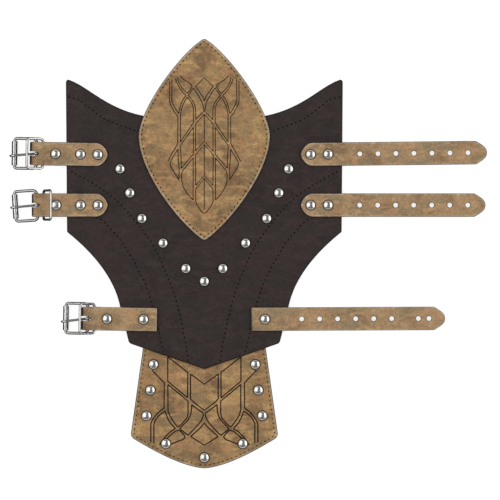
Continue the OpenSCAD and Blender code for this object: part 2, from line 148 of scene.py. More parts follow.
def rounded(before, corner, after, radius=2.2, steps=5):
    """An arc that rounds a corner between its two neighbours."""
    b = Vector(corner)
    u, v = (Vector(before) - b).normalized(), (Vector(after) - b).normalized()
    half = u.angle(v) / 2
    centre = b + (u + v).normalized() * radius / math.sin(half)
    start, end = b + u * radius / math.tan(half) - centre, b + v * radius / math.tan(half) - centre
    return [tuple(centre + radius * start.slerp(end, k / steps)) for k in range(steps + 1)]


def mirrored(right):
    """A whole outline, anticlockwise, from its right half, which runs from top to bottom."""
    left = [(-x, y) for x, y in right if x > 0]
    return left + right[::-1]


def through(points, steps=6):
    """A smooth line through the given points."""
    pts = [Vector(p) for p in points]
    pts = [2 * pts[0] - pts[1]] + pts + [2 * pts[-1] - pts[-2]]
    found = [tuple(pts[1])]
    for a, b, c, d in zip(pts, pts[1:], pts[2:], pts[3:]):
        found += bezier(b, b + (c - a) / 6, c - (d - b) / 6, c, steps)
    return [tuple(p)[:2] for p in found]


def walk(points, step, start=0.0):
    """Places at equal steps along a line: x, y and the direction there."""
    found, left = [], start
    for a, b in zip(points, points[1:]):
        a, b = Vector(a), Vector(b)
        length = (b - a).length
        while left < length:
            p = a + (b - a) * left / length
            found.append((p.x, p.y, math.atan2(b.y - a.y, b.x - a.x)))
            left += step
        left -= length
    return found


# %% [markdown]
# A piece of leather starts as a disc whose rim is laid along the outline, and is extruded to its
# thickness. A bevel then rounds the cut edge, as an edge tool does on the bench. Marks are punched
# with a cutter and a Boolean modifier: its faces keep their own material, so every hole and carved
# line is dark inside without any painting.

# %% Cutting leather and rounding its edges
def extruded(name, rim, shift):
    """A disc whose rim is laid along these points, extruded by this shift, all in mm."""
    piece = fresh(bpy.ops.mesh.primitive_circle_add, vertices=len(rim), fill_type="NGON")
    for vertex, place in zip(piece.data.vertices, rim):
        vertex.co = [v * MM for v in place]
    open_mesh(piece)
    bpy.ops.mesh.extrude_region_move(TRANSFORM_OT_translate={"value": [v * MM for v in shift]})
    bpy.ops.object.mode_set(mode="OBJECT")
    face_outwards(piece)
    return settle(piece, name)


def cut_leather(name, outline, low, high):
    """A flat piece with this outline, from one height to another, in mm."""
    return extruded(name, [(x, y, low) for x, y in outline], (0, 0, high - low))


def round_edges(piece, width):
    """Rounds every sharp edge, as an edge bevelling tool does."""
    return use_modifier(piece, "BEVEL", width=width * MM, segments=5, limit_method="ANGLE",
                        angle_limit=math.radians(50))


# %% Punches and gouges
def copies(pattern, moves):
    """One piece out of copies of a pattern, each moved, turned and scaled by its own matrix."""
    made = []
    for move in moves:
        one = pattern.copy()
        one.data = pattern.data.copy()
        bpy.context.scene.collection.objects.link(one)
        one.data.transform(move)
        made.append(one)
    pick(*made)
    if len(made) > 1:
        bpy.ops.object.join()
    return bpy.context.object


def punches(places, length, width, depth, top, corners=10):
    """One cutter out of equal oval punches at (x, y, direction)."""
    pattern = fresh(bpy.ops.mesh.primitive_cylinder_add, vertices=corners, radius=1, depth=2)
    size = Matrix.Diagonal((length / 2 * MM, width / 2 * MM, depth * MM, 1))
    moves = [Matrix.Translation((x * MM, y * MM, top * MM)) @ Matrix.Rotation(turn, 4, "Z") @ size
             for x, y, turn in places]
    made = copies(pattern, moves)
    bpy.data.objects.remove(pattern)
    return settle(made, "punches")


def gouge(line, radius, height):
    """A round rod that follows a line, at a height, in mm."""
    rod = fresh(bpy.ops.curve.primitive_bezier_curve_add)
    rod.data.splines.clear()
    spline = rod.data.splines.new("POLY")
    spline.points.add(len(line) - 1)
    for point, (x, y) in zip(spline.points, line):
        point.co = (x * MM, y * MM, height * MM, 1)
    rod.data.dimensions = "3D"
    rod.data.bevel_depth = radius * MM
    rod.data.bevel_resolution = 1
    rod.data.use_fill_caps = True
    pick(rod)
    bpy.ops.object.convert(target="MESH")
    face_outwards(rod)
    return settle(rod, "gouge")


# %% Cutting with a Boolean and cleaning up after it
# The material slots of a leather piece, in order.
FACE, CUT, EDGE, RIM, FLESH, SEAT, EXTRA = range(7)


def cut_with(piece, cutter, slot=CUT):
    """Takes the cutter out of the piece. The new faces get the material in this slot."""
    while len(cutter.data.materials) <= slot:
        cutter.data.materials.append(None)
    for face in cutter.data.polygons:
        face.material_index = slot
    use_modifier(piece, "BOOLEAN", operation="DIFFERENCE", solver="EXACT", object=cutter,
                 material_mode="INDEX")
    bpy.data.objects.remove(cutter)
    return piece


def open_edges(piece):
    """How many edges don't have exactly two faces."""
    work = bmesh.new()
    work.from_mesh(piece.data)
    found = sum(not edge.is_manifold for edge in work.edges)
    work.free()
    return found


def carve(piece, lines, radius, height):
    """Cuts one line after another, in mm.

    A cut that fails or leaves an open edge is done again, a hair thinner. A failed cut loses most
    of the piece's faces."""
    kept_share = 0.8
    for line in lines:
        whole, had, tries = piece.data.copy(), open_edges(piece), []
        for thinner in (0.0, 0.007, 0.013, 0.021, 0.03):
            piece.data = whole.copy()
            cut_with(piece, gouge(line, radius - thinner, height - thinner / 4))
            if len(piece.data.polygons) > kept_share * len(whole.polygons):
                tries.append((open_edges(piece), thinner, piece.data))
                if tries[-1][0] <= had:
                    break
        piece.data = min(tries, key=lambda found: found[:2])[2]
        if tries[-1][0] > had:
            print("open edges at the line from", line[0], [found[0] for found in tries])
    return piece


def clean_cut(piece, merge=0.000002):
    """Removes the tiny edges and slivers that a Boolean leaves, and reports open edges."""
    open_mesh(piece)
    bpy.ops.mesh.remove_doubles(threshold=merge)
    bpy.ops.mesh.dissolve_degenerate(threshold=merge)
    bpy.ops.mesh.select_all(action="SELECT")
    bpy.ops.mesh.delete_loose()
    bpy.ops.mesh.select_all(action="SELECT")
    bpy.ops.mesh.fill_holes(sides=4)
    bpy.ops.mesh.select_all(action="SELECT")
    bpy.ops.mesh.normals_make_consistent(inside=False)
    bpy.ops.object.mode_set(mode="OBJECT")
    print(piece.name, "faces:", len(piece.data.polygons), "open edges:", open_edges(piece))
    return piece


def crease(piece, first, last, count):
    """Cuts extra edges across a piece at planes between two points in mm.

    It can bend there, and its faces stay small."""
    first, last = Vector(first) * MM, Vector(last) * MM
    open_mesh(piece)
    for k in range(count):
        bpy.ops.mesh.select_all(action="SELECT")
        bpy.ops.mesh.bisect(plane_co=first.lerp(last, k / (count - 1)), plane_no=last - first)
    bpy.ops.object.mode_set(mode="OBJECT")
    return piece


# %% [markdown]
# Leather needs several tones at once: wide clouds from the tanning, smaller smudges from handling,
# and fine grain in the bump. The same clouds serve dark and tan leather, so they are one node
# group. It reads Object coordinates, which for these pieces are metres.

# %% Node helpers
def fill(tree, node, inputs):
    """Links or sets these inputs of a node."""
    for key, value in inputs.items():
        if isinstance(value, bpy.types.NodeSocket):
            tree.links.new(value, node.inputs[key])
        else:
            node.inputs[key].default_value = value
    return node


def put(tree, kind, inputs=None, **settings):
    """Adds a node, sets its properties, and fills its inputs."""
    made = tree.nodes.new(kind)
    for key, value in settings.items():
        setattr(made, key, value)
    return fill(tree, made, inputs or {})


def calculate(tree, operation, *values):
    """A maths node; returns its output."""
    return put(tree, "ShaderNodeMath", dict(enumerate(values)), operation=operation).outputs[0]


def span(tree, value, low, high, to_low=0.0, to_high=1.0, **settings):
    """Maps one range of values to another; returns its output."""
    inputs = {"Value": value, "From Min": low, "From Max": high, "To Min": to_low,
              "To Max": to_high}
    return put(tree, "ShaderNodeMapRange", inputs, **settings).outputs["Result"]


def ramp(tree, factor, *stops):
    """A colour ramp of (position, grey) stops; returns its output."""
    made = put(tree, "ShaderNodeValToRGB", {"Fac": factor})
    made.color_ramp.elements.remove(made.color_ramp.elements[1])
    for k, (position, grey) in enumerate(stops):
        stop = made.color_ramp.elements[0] if k == 0 else made.color_ramp.elements.new(position)
        stop.position = position
        stop.color = (grey, grey, grey, 1)
    return made.outputs["Color"]


def noise(tree, vector, scale, detail, rough, warp=0.0):
    """Noise, with about this many patches in a metre; returns its output."""
    inputs = {"Vector": vector, "Scale": scale, "Detail": detail, "Roughness": rough,
              "Distortion": warp}
    return put(tree, "ShaderNodeTexNoise", inputs).outputs["Fac"]


def mix(tree, factor, a, b, way="MIX"):
    """Mixes two colours; returns its output. 6 and 7 are this node's colour inputs."""
    return put(tree, "ShaderNodeMix", {0: factor, 6: a, 7: b}, data_type="RGBA",
               blend_type=way).outputs[2]


def blank_material(name):
    """A new material, its nodes and its shader."""
    made = bpy.data.materials.new(name)
    made.use_nodes = True
    return made, made.node_tree, made.node_tree.nodes["Principled BSDF"]


def new_group(name, inputs, outputs):
    """A new node group that reads a place, its input node and its output node."""
    tree = bpy.data.node_groups.new(name, "ShaderNodeTree")
    inputs = [("Vector", "NodeSocketVector")] + inputs
    for way, sockets in (("INPUT", inputs), ("OUTPUT", outputs)):
        for label, kind in sockets:
            tree.interface.new_socket(label, in_out=way, socket_type=kind)
    return tree, tree.nodes.new("NodeGroupInput"), tree.nodes.new("NodeGroupOutput")


# %% A group for the clouds and smudges of leather
def srgb(red, green, blue):
    """A colour as a picture shows it, from 0 to 255, made linear for the shader."""
    return tuple(((v / 255 + 0.055) / 1.055) ** 2.4 if v > 10 else v / 3294
                 for v in (red, green, blue)) + (1.0,)


TONES = ("Base", "Dark", "Light", "Warm", "Cool")
clouds, given, out = new_group(
    "leather clouds", [(tone, "NodeSocketColor") for tone in TONES],
    [("Color", "NodeSocketColor"), ("Wear", "NodeSocketFloat")])
place = given.outputs["Vector"]
wide = noise(clouds, place, 38, 3, 0.5, 0.6)
middle = noise(clouds, place, 110, 5, 0.6, 0.4)
fine = noise(clouds, place, 420, 6, 0.7, 0.2)
moved = put(clouds, "ShaderNodeMapping", {
    "Vector": place, "Location": (0.31, 0.17, 0.05), "Rotation": (0, 0, 0.7), "Scale": (1, 2.2, 1)})
moved = moved.outputs["Vector"]
streaks = noise(clouds, moved, 75, 5, 0.62, 0.5)
tone = mix(clouds, ramp(clouds, wide, (0.4, 0), (0.56, 1)), given.outputs["Dark"],
           given.outputs["Base"])
tone = mix(clouds, ramp(clouds, streaks, (0.48, 0), (0.64, 0.9)), tone, given.outputs["Light"])
tone = mix(clouds, ramp(clouds, middle, (0.5, 0), (0.66, 0.75)), tone, given.outputs["Warm"])
cool_place = noise(clouds, moved, 52, 4, 0.55, 0.3)
tone = mix(clouds, ramp(clouds, cool_place, (0.52, 0), (0.64, 0.8)), tone, given.outputs["Cool"])
speck = ramp(clouds, fine, (0.42, 0.82), (0.6, 1.08))
tone = mix(clouds, 1.0, tone, speck, "MULTIPLY")
clouds.links.new(tone, out.inputs["Color"])
clouds.links.new(ramp(clouds, streaks, (0.35, 0), (0.7, 1)), out.inputs["Wear"])
print(clouds.name, "nodes:", len(clouds.nodes))

# %% A group for the grain, which is bumps between fine wrinkles
grain, given, out = new_group(
    "leather grain", [("Pore size", "NodeSocketFloat")], [("Height", "NodeSocketFloat")])
cells = put(grain, "ShaderNodeTexVoronoi",
            {"Vector": given.outputs["Vector"], "Scale": given.outputs["Pore size"],
             "Smoothness": 0.6}, feature="SMOOTH_F1")
hide = noise(grain, given.outputs["Vector"], 240, 6, 0.65, 0.3)
grain.links.new(calculate(grain, "ADD", cells.outputs["Distance"], hide), out.inputs["Height"])
print(grain.name, "nodes:", len(grain.nodes))


# %% Leather materials
def leather(name, *colours, rough=(0.5, 0.72), bump=0.35, pore=900.0):
    """Leather in the five tones, each as red, green and blue from 0 to 255."""
    made, tree, shader = blank_material(name)
    place = put(tree, "ShaderNodeTexCoord").outputs["Object"]
    inputs = {tone: srgb(*colour) for tone, colour in zip(TONES, colours)}
    tones = put(tree, "ShaderNodeGroup", {"Vector": place, **inputs}, node_tree=clouds)
    pores = put(tree, "ShaderNodeGroup", {"Vector": place, "Pore size": pore}, node_tree=grain)
    raised = put(tree, "ShaderNodeBump", {
        "Height": pores.outputs["Height"], "Strength": bump, "Distance": 0.0003})
    fill(tree, shader, {
        "Base Color": tones.outputs["Color"], "Normal": raised.outputs["Normal"],
        "Roughness": span(tree, tones.outputs["Wear"], 0.0, 1.0, *rough),
        "Specular IOR Level": 0.2})
    return made


dark_leather = leather(
    "dark_waxed_leather", (48, 38, 37), (41, 33, 32), (58, 47, 45), (58, 42, 41), (44, 40, 37),
    rough=(0.55, 0.75), bump=0.25, pore=1100.0)
tan_leather = leather(
    "tan_plate_leather", (154, 123, 85), (121, 95, 66), (184, 150, 101), (170, 126, 86),
    (132, 109, 78))
strap_leather = leather(
    "tan_strap_leather", (160, 131, 97), (134, 108, 79), (180, 149, 110), (174, 134, 97),
    (138, 121, 93))
rim_leather = leather(
    "bevelled_rim_leather", (166, 147, 122), (142, 123, 98), (186, 168, 144), (166, 138, 110),
    (146, 134, 112), bump=0.2)
edge_paint = leather(
    "burnished_edge", (62, 46, 33), (48, 35, 26), (80, 60, 44), (72, 50, 36), (56, 48, 38),
    rough=(0.35, 0.55), bump=0.15)
dark_edge = leather(
    "dark_burnished_edge", (26, 20, 18), (22, 18, 16), (36, 28, 26), (34, 24, 22), (26, 25, 22),
    rough=(0.45, 0.6), bump=0.15)
# The colour of the carved lines; the buckle straps also take it at the nose of the fold, as painted
# shade.
carved_line_and_painted_nose_shade = leather(
    "carved_line_and_painted_nose_shade", (29, 17, 11), (21, 12, 7), (40, 24, 15), (38, 20, 12), (27, 19, 12), bump=0.1)
# The seats round the rivet caps: a dark colour that is painted shade round the foot of each cap.
painted_cap_seat_shade = leather(
    "painted_cap_seat_shade", (80, 62, 42), (64, 50, 33), (96, 76, 53), (86, 63, 42), (72, 64, 44), bump=0.1)
hole_ring = leather(
    "hole_ring", (128, 107, 79), (110, 91, 66), (142, 119, 89), (132, 104, 77), (112, 99, 73),
    bump=0.1)
dark_mark = leather(
    "dark_stitch_mark", (20, 15, 15), (16, 13, 13), (26, 20, 20), (24, 17, 16), (20, 18, 16),
    bump=0.1)
flesh_side = leather(
    "tan_flesh_side", (158, 132, 100), (136, 110, 82), (180, 154, 122), (164, 128, 94),
    (144, 127, 100), rough=(0.85, 0.95), bump=0.9, pore=600.0)
dark_flesh = leather(
    "dark_flesh_side", (78, 63, 54), (64, 52, 45), (94, 77, 66), (88, 66, 53), (72, 65, 55),
    rough=(0.85, 0.95), bump=0.9, pore=600.0)
print("materials so far:", len(bpy.data.materials))

# %% [markdown]
# Nickel is painted darker in a band between the top and the very sides of a wire, and round the
# foot of a cap: painted shade for the dark reflections on the shoulders. The mask reads which way
# the surface faces, in the piece's own coordinates, so the shade stays put when the piece turns.

# %% A group for the painted shade on nickel
painted_nickel_shade, given, out = new_group(
    "painted_nickel_shade", [("Normal", "NodeSocketVector"), ("Unshaded from", "NodeSocketFloat"),
                ("Dark below", "NodeSocketFloat")], [("Mask", "NodeSocketFloat")])
faces_up = put(painted_nickel_shade, "ShaderNodeSeparateXYZ", {"Vector": given.outputs["Normal"]}).outputs["Z"]
blotch = span(painted_nickel_shade, noise(painted_nickel_shade, given.outputs["Vector"], 500, 3, 0.6), 0.3, 0.7, -0.06, 0.06)
uneven = calculate(painted_nickel_shade, "ADD", calculate(painted_nickel_shade, "ABSOLUTE", faces_up), blotch)
mask = span(painted_nickel_shade, uneven, given.outputs["Unshaded from"], given.outputs["Dark below"],
            interpolation_type="SMOOTHSTEP")
sides_left_unshaded = span(painted_nickel_shade, uneven, 0.15, 0.4, interpolation_type="SMOOTHSTEP")
painted_nickel_shade.links.new(calculate(painted_nickel_shade, "MULTIPLY", mask, sides_left_unshaded), out.inputs["Mask"])
print(painted_nickel_shade.name, "nodes:", len(painted_nickel_shade.nodes))


# %% Nickel
def nickel(name, color, rough, scratch, unshaded_from, dark, shade_share):
    """Nickel with a haze of wear, and with painted shade on its shoulders, the shade share of its
    colour.
    """
    made, tree, shader = blank_material(name)
    coordinates = put(tree, "ShaderNodeTexCoord")
    place = coordinates.outputs["Object"]
    haze = noise(tree, place, 260, 5, 0.6, 0.2)
    worn, shaded_tone = (tuple(share * c for c in color) + (1,) for share in (0.86, shade_share))
    tone = mix(tree, ramp(tree, haze, (0.4, 0), (0.72, 1)), color + (1,), worn)
    painted_flank_shade = put(tree, "ShaderNodeGroup", {
        "Vector": place, "Normal": coordinates.outputs["Normal"], "Unshaded from": unshaded_from,
        "Dark below": dark}, node_tree=painted_nickel_shade)
    raised = put(tree, "ShaderNodeBump", {
        "Height": noise(tree, place, 2600, 3, 0.6), "Strength": scratch, "Distance": 0.00005})
    fill(tree, shader, {
        "Metallic": 1.0, "Base Color": mix(tree, painted_flank_shade.outputs["Mask"], tone, shaded_tone),
        "Roughness": span(tree, haze, 0.3, 0.75, *rough), "Normal": raised.outputs["Normal"]})
    return made


# The last three numbers place the painted shade: where it begins, where it is full, and how much of
# the colour it keeps.
cap_nickel = nickel(
    "cap_nickel", (0.56, 0.55, 0.52), (0.12, 0.24), 0.12, unshaded_from=0.76, dark=0.52, shade_share=0.12)
post_nickel = nickel(
    "post_nickel", (0.7, 0.69, 0.67), (0.15, 0.28), 0.15, unshaded_from=0.5, dark=0.2, shade_share=0.5)
wire_nickel = nickel(
    "wire_nickel", (0.4, 0.39, 0.38), (0.14, 0.28), 0.18, unshaded_from=0.97, dark=0.84, shade_share=0.03)
roller_nickel = nickel(
    "roller_nickel", (0.5, 0.49, 0.48), (0.14, 0.26), 0.15, unshaded_from=0.94, dark=0.83, shade_share=0.03)
keeper_nickel = nickel(
    "keeper_nickel", (0.56, 0.54, 0.53), (0.14, 0.26), 0.15, unshaded_from=0.92, dark=0.7, shade_share=0.04)
print("materials so far:", len(bpy.data.materials))


# %% Putting finishes on a piece
def dress(piece, *materials):
    """Gives the piece these materials, one for each slot."""
    piece.data.materials.clear()
    for material in materials:
        piece.data.materials.append(material)


def rim_band(piece, width):
    """Insets the large top face, and gives the ring that this leaves the material of the rim."""
    pick(piece)
    bpy.context.tool_settings.mesh_select_mode = (False, False, True)
    faces = piece.data.polygons
    top = max(faces, key=lambda face: face.area * (face.normal.z > 0.99)).index
    for face in faces:
        face.select = face.index == top
    bpy.ops.object.mode_set(mode="EDIT")
    bpy.ops.mesh.inset(thickness=width * MM)
    bpy.ops.object.mode_set(mode="OBJECT")
    for face in piece.data.polygons:
        if face.normal.z > 0.99 and not face.select:
            face.material_index = RIM
    return piece


def coat(piece, steep=0.8, slope=0.995):
    """Sides and outer bevel get the burnished edge, then comes the rim; below is the flesh side."""
    for face in piece.data.polygons:
        if face.material_index == FACE:
            up = face.normal.z
            face.material_index = (FLESH if up < -0.5 else EDGE if up < steep
                                   else RIM if up < slope else FACE)
    return piece


def finish_leather(piece, steep=0.8):
    """Cleans a piece that has all its cuts, gives its faces their materials and shades it."""
    return smooth(coat(clean_cut(piece), steep))


# %% [markdown]
# A rivet is hammered down until its cap sinks a little into the leather. The solids know where
# every cap is, so a shallow seat is pressed there before the cap is made. The seat is given a dark
# colour, which is painted shade round the foot of each cap.

# %% Seats for the rivet caps
SEAT_WIDTH, SEAT_DEPTH = 9.3, 0.15


def islands(node):
    """The separate bodies in a solid's mesh: the middle and lowest height of each, in metres."""
    work = bmesh.new()
    work.from_mesh(nodes[node].data)
    bmesh.ops.remove_doubles(work, verts=work.verts, dist=1e-6)
    seen, found = set(), []
    for first in work.verts:
        if first in seen:
            continue
        group = [first]
        seen.add(first)
        for here in group:
            for link in here.link_edges:
                other = link.other_vert(here)
                if other not in seen:
                    seen.add(other)
                    group.append(other)
        xs, ys, zs = zip(*(vertex.co for vertex in group))
        found.append(((min(xs) + max(xs)) / 2, (min(ys) + max(ys)) / 2, min(zs)))
    work.free()
    return found


def seat_rivets(piece, top, *cap_nodes):
    """Presses a shallow seat round each cap of these solids, a little wider than the cap."""
    places = [(x / MM, y / MM, 0) for node in cap_nodes for x, y, low in islands(node)]
    return cut_with(piece, punches(places, SEAT_WIDTH, SEAT_WIDTH, SEAT_DEPTH, top, 36), slot=SEAT)


# %% [markdown]
# The main panel is one sheet. Its outline follows the solid: elbow corners, an S-shaped upper edge
# that runs in under the crest plate, straight sides, a hollow, a taper and a blunt point.

# %% Main panel
# Height 0 is the inner side of the panel. Heights are in mm.
GUARD_BACK, PANEL_TOP, CREST_TOP, STRAP_TOP = -2, 2.2, 4.2, 4.4
notch, elbow, side_end = (52, 92), (117.7, 123.3), (116.7, -6.8)
waist, wrist, point = (72.5, -66.3), (64, -101.3), (0, -123.3)
shoulder = [notch, (86.2, 99), (100, 119.1), elbow]
panel_right = ([(0, 92), notch] + bezier(*shoulder)[:-1]
               + rounded(shoulder[2], elbow, side_end) + [side_end]
               + bezier(side_end, (99.7, -20.2), (79.1, -41.1), waist)
               + rounded(waist, wrist, point, 4) + [point])
panel = cut_leather("panel_sheet", mirrored(panel_right), 0, PANEL_TOP)
# Its last slot, for the seats round the caps, is painted shade round the foot of each cap.
dress(panel, dark_leather, dark_mark, dark_edge, dark_edge, dark_flesh, dark_edge)
round_edges(panel, 1.1)
crease(panel, (-100, 0, 0), (100.6, 0, 0), 8)
crease(panel, (0, -104.3, 0), (0, 103.1, 0), 9)
print("panel faces:", len(panel.data.polygons))

# %% [markdown]
# Three rows of marks on each side look like stitching. They are pricked with an awl: short slots,
# about 4 mm apart, that follow a smooth line. Each line is drawn once and mirrored.

# %% Rows of marks on the panel
shoulder_row = through([
    (-116, 108), (-106.5, 105.6), (-100.5, 101), (-94, 96), (-87, 90.6), (-77.5, 86), (-66.5, 82),
    (-57, 78.4)])
long_row = through([
    (-113.7, 44.8), (-105.7, 40.6), (-95, 34.8), (-85.3, 28.2), (-75.8, 21.2), (-64, 9), (-52, -6),
    (-44.8, -15.8), (-39, -26.4), (-31.8, -43.4), (-27.4, -55), (-22.9, -68.6), (-19.6, -83),
    (-16.4, -98.6), (-14.4, -110.6), (-13.6, -117)])
outer_row = through([
    (-114, 15.5), (-104, 11), (-88.4, 4.2), (-82.6, -1), (-70.8, -14), (-64.2, -24.6), (-59.4, -32),
    (-54.6, -41.8), (-50, -51), (-46.4, -62), (-44, -69.6), (-38.4, -92.4), (-36.8, -101),
    (-34.4, -110)])
AWL_STEP, AWL_LENGTH, AWL_WIDTH, AWL_DEPTH = 3.95, 1.9, 1.35, 0.7
marks = []
for row in (shoulder_row, long_row, outer_row):
    for x, y, turn in walk(row, AWL_STEP, 1.2):
        marks += [(x, y, turn), (-x, y, math.pi - turn)]
cut_with(panel, punches(marks, AWL_LENGTH, AWL_WIDTH, AWL_DEPTH, PANEL_TOP))
seat_rivets(panel, PANEL_TOP, "v_row_rivet_caps")
finish_leather(panel)
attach(panel, "panel")
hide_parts("main_panel")
print("marks pricked:", len(marks))

# %% [markdown]
# The crest plate is an almond of tan leather, with a row of small stitch holes along the rim and
# bands of double lines carved into the face. The carving is real, because a groove catches light on
# one wall and shade on the other, which a painted line can't do.

# %% Crest plate
def round_tip(y, handle, radius=3.6, steps=5):
    """A round tip on the centre line: its points, and where its sides would meet.

    The handle says which way its side leaves."""
    turn, way = math.pi / 2 - math.atan2(handle[0], abs(handle[1])), math.copysign(1, handle[1])
    arc = [(radius * math.sin(turn * k / steps),
            y + way * radius * (1 - math.cos(turn * k / steps))) for k in range(steps + 1)]
    return arc, (0, y - way * radius * (1 / math.cos(turn) - 1))


leave, back_in = (20.7, -13.2), (20.1, 14)
upper_tip, upper_meet = round_tip(157.1, leave)
lower_tip, lower_meet = round_tip(-13.7, back_in)
widest = (55.9, 74.3)
first_handle = (leave[0], upper_meet[1] + leave[1])
last_handle = (back_in[0], lower_meet[1] + back_in[1])
crest_right = (upper_tip + bezier(upper_tip[-1], first_handle, (55.7, 97.6), widest, 20)
               + bezier(widest, (55.1, 42.2), last_handle, lower_tip[-1], 20)
               + lower_tip[-2::-1])
PLATE_COATS = (tan_leather, carved_line_and_painted_nose_shade, edge_paint, rim_leather, flesh_side, painted_cap_seat_shade)
crest = cut_leather("crest_sheet", mirrored(crest_right), PANEL_TOP, CREST_TOP)
dress(crest, *PLATE_COATS)
rim_band(round_edges(crest, 1.0), 0.7)
crease(crest, (-37.7, 0, 0), (37.7, 0, 0), 4)
crease(crest, (0, 2.9, 0), (0, 147.9, 0), 6)
print("crest faces:", len(crest.data.polygons))

# %% Helpers for rows along an outline and for mirrored lines
def inset(points, distance):
    """A closed outline, moved inwards."""
    found = []
    for before, here, after in zip(points[-1:] + points[:-1], points, points[1:] + points[:1]):
        along = (Vector(after) - Vector(before)).normalized()
        found.append((here[0] - along.y * distance, here[1] + along.x * distance))
    return found


def both_sides(lines):
    """Each line and its mirror image.

    A line whose straight end meets the centre line is one stroke with its image."""
    straight = 3  # mm
    found = []
    for line in lines:
        image = [(-x, y) for x, y in line]
        if all(x == 0 for x, y in line):
            found.append(line)
        elif line[0][0] == 0 and math.dist(line[0], line[1]) > straight:
            found.append(line[::-1] + image[1:])
        elif line[-1][0] == 0 and math.dist(line[-1], line[-2]) > straight:
            found.append(line + image[-2::-1])
        else:
            found += [line, image]
    return found


# %% The crest's carved lines, drawn for its left half
crest_lines = [
    [(0, 124.1), (-7.5, 116.8)],
    through([(-7.5, 116.8), (-3.9, 111.7), (-1.2, 107.7), (0, 104.4)]),
    through([(-9.3, 115.3), (-6.6, 111.7), (-3.9, 107.1), (-2.1, 103.6), (-1.2, 100.9),
        (-0.8, 98.2), (0, 95.6)]),
    through([(-20.4, 125.8), (-17.9, 123.1), (-14.7, 120.8), (-11.7, 118.8), (-10.6, 116.6),
        (-12.6, 112.8), (-14.2, 110.8)]),
    through([(-9.3, 115.3), (-11.1, 112.6), (-12.4, 110.7), (-13.8, 109)]),
    through([(-22.8, 124.2), (-22.2, 122), (-21.1, 119.1), (-19, 115.5), (-16.5, 112.8),
        (-14.2, 110.8)]),
    through([(-24.4, 123.1), (-23.6, 120.7), (-22.2, 117.7), (-20.1, 114.2), (-17.9, 111.5),
        (-15.5, 109)]),
    through([(-13.8, 109), (-11.8, 107.1), (-9.9, 104.4), (-8.7, 102.3), (-8, 100.5), (-7.4, 97.4),
        (-7.3, 94)]) + [(-7.3, 88.6)],
    through([(-14.6, 107.6), (-13.1, 106), (-11.5, 103.9), (-10.4, 101.7), (-9.7, 99.8),
        (-9.2, 97.4)]) + [(-9.2, 86)],
    through([(-15.5, 109), (-16.6, 107.9), (-17.7, 106), (-19.4, 102.8), (-20.4, 99.5),
        (-21.9, 93.6)]),
    through([(-14.6, 107.6), (-15.8, 105.8), (-17.4, 102.5), (-18.6, 99.8), (-19.5, 96.6),
        (-20.2, 93)]) + [(-20.2, 69.6)],
    [(-29.4, 121.4)] + through([(-29.5, 103.6), (-28.6, 101.4), (-27, 97.9), (-24.9, 94.4),
        (-22.4, 91)]) + [(-22.5, 68.2)],
    [(-27.5, 122.6)] + through([(-27.6, 104.7), (-26.8, 102.5), (-25.4, 99.5), (-23.8, 96.6),
        (-21.9, 93.6)]),
    [(0, 96.2), (-7.3, 88.6)], [(-9.2, 86), (-20.2, 69.6)],
    through([(-22.5, 68.2), (-24.9, 64), (-28.2, 58.3), (-30.9, 52.9)]),
    [(0, 93.2), (-7.4, 84.9)], [(-9.3, 82), (-20.3, 66.6)],
    through([(-22.3, 63.7), (-24.3, 60.2), (-26.5, 56.7), (-28.4, 53.4), (-29, 51.2), (-28.4, 48.8),
        (-26.8, 45.9), (-21.6, 37.7)]),
    [(-22.3, 63.7), (-22.2, 57.2), (-21.4, 46), (-21.6, 37.7)],
    [(-20.3, 66.6), (-20.2, 62.6), (-19.7, 57.2), (-19.6, 47.2)], [(-7.4, 84.9), (-7.4, 61.7)],
    [(-9.3, 82), (-9.3, 59.1)], [(0, 70.5), (-7.4, 61.7)], [(-9.3, 59.1), (-19.6, 47.2)],
    [(0, 67.5), (-7.6, 58.6)], [(-9.4, 56.1), (-18.6, 45)],
    through([(-18.6, 45), (-19.3, 42), (-19.4, 39.3), (-18.8, 35), (-18.2, 32.5), (-16.6, 29.3),
        (-14.5, 26), (-12.4, 23.3), (-9.5, 20.4)]),
    [(-9.4, 56.1), (-9.5, 20.4)], [(-7.6, 58.6), (-7.3, 32.7)], [(0, 41.2), (-7.3, 32.7)],
    [(0, 38.9), (-6.8, 30.3)],
    through([(-6.8, 30.3), (-7.3, 28.4), (-7.3, 19.5), (-6.3, 16.5), (-4.4, 13.3), (-2, 10.3),
        (0, 8.9)]),
    [(0, 93.2), (0, 70.5)], [(0, 67.5), (0, 41.2)], [(0, 38.9), (0, 12)],
]

# %% Carving and stitch holes of the crest
STITCH_INSET, STITCH_DEPTH, STITCH_CORNERS = 2.7, 0.8, 8
CREST_STEP, CREST_HOLE = 4.03, (1.5, 1.15)
carve(crest, both_sides(crest_lines), radius=0.5, height=4.4)
holes = walk(inset(mirrored(crest_right), STITCH_INSET), CREST_STEP)
cut_with(crest, punches(holes, *CREST_HOLE, STITCH_DEPTH, CREST_TOP, STITCH_CORNERS))
finish_leather(crest)
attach(crest, "panel")
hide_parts("crest_plate")
print("stitch holes of the crest:", len(holes))

# %% [markdown]
# The hand guard is one sheet that bends at the wrist. The solid has to split it at the bending
# line. Here it is one mesh again, with extra edges across the bend.

# %% Hand guard
guard_corner = (62.9, -181)
hem = bezier(guard_corner, (41.9, -194), (18, -206.6), (0, -207.8))
guard_right = ([(0, -86), (49.5, -86)]
               + rounded((49.5, -86), guard_corner, (41.9, -194), 5.5) + hem[1:])
guard = cut_leather("guard_sheet", mirrored(guard_right), GUARD_BACK, 0)
dress(guard, *PLATE_COATS)
rim_band(round_edges(guard, 0.9), 0.4)
crease(guard, (0, -122.6, 0), (0, -129.2, 0), 8)
crease(guard, (0, -137.3, 0), (0, -203.3, 0), 4)
crease(guard, (-39.2, 0, 0), (39.2, 0, 0), 4)
print("guard faces:", len(guard.data.polygons))

